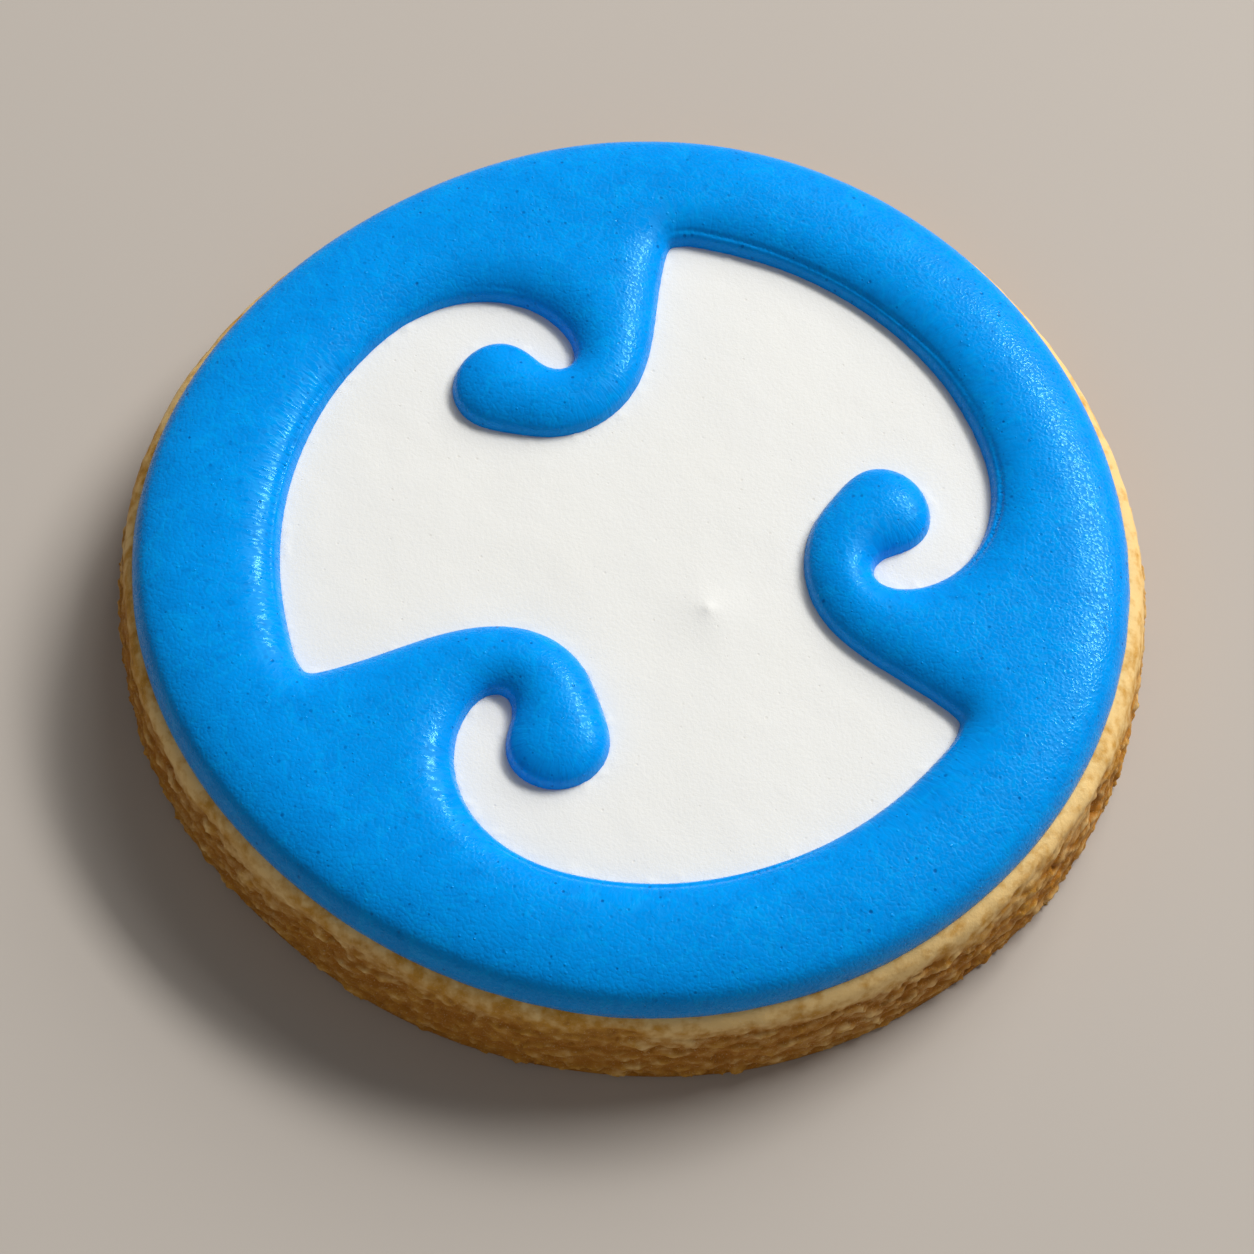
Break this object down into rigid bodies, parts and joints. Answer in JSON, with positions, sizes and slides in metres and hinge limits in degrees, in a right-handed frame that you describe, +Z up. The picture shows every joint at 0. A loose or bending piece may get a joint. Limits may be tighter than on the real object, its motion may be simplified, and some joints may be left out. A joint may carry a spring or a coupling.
{
  "type": "iced sugar cookie",
  "caption": "Round iced sugar cookie: a thick pale biscuit with a smooth white iced field inside a puffed blue icing border whose inner edge rolls into wave scrolls.",
  "frame": {"origin": "middle of the underside, under the centre of the biscuit's outer box", "axes": "+Z up out of the iced face, +X to the right and +Y away from the viewer as the cookie is shown"},
  "size_m": [0.0788, 0.0772, 0.0117],
  "materials": {
    "baked_biscuit": "baked golden biscuit, smooth and pale at the top edge, pitted, crumbly and browner down the side, fully matte",
    "white_icing": "dried white royal icing, flat, very matte, faint grain and pinholes",
    "blue_icing": "bright blue icing, satin, finely crinkled skin with scattered pinholes"
  },
  "bodies": {
    "root": {"biscuit": "baked_biscuit", "white_icing": "white_icing", "blue_icing": "blue_icing"}
  },
  "joints": []
}
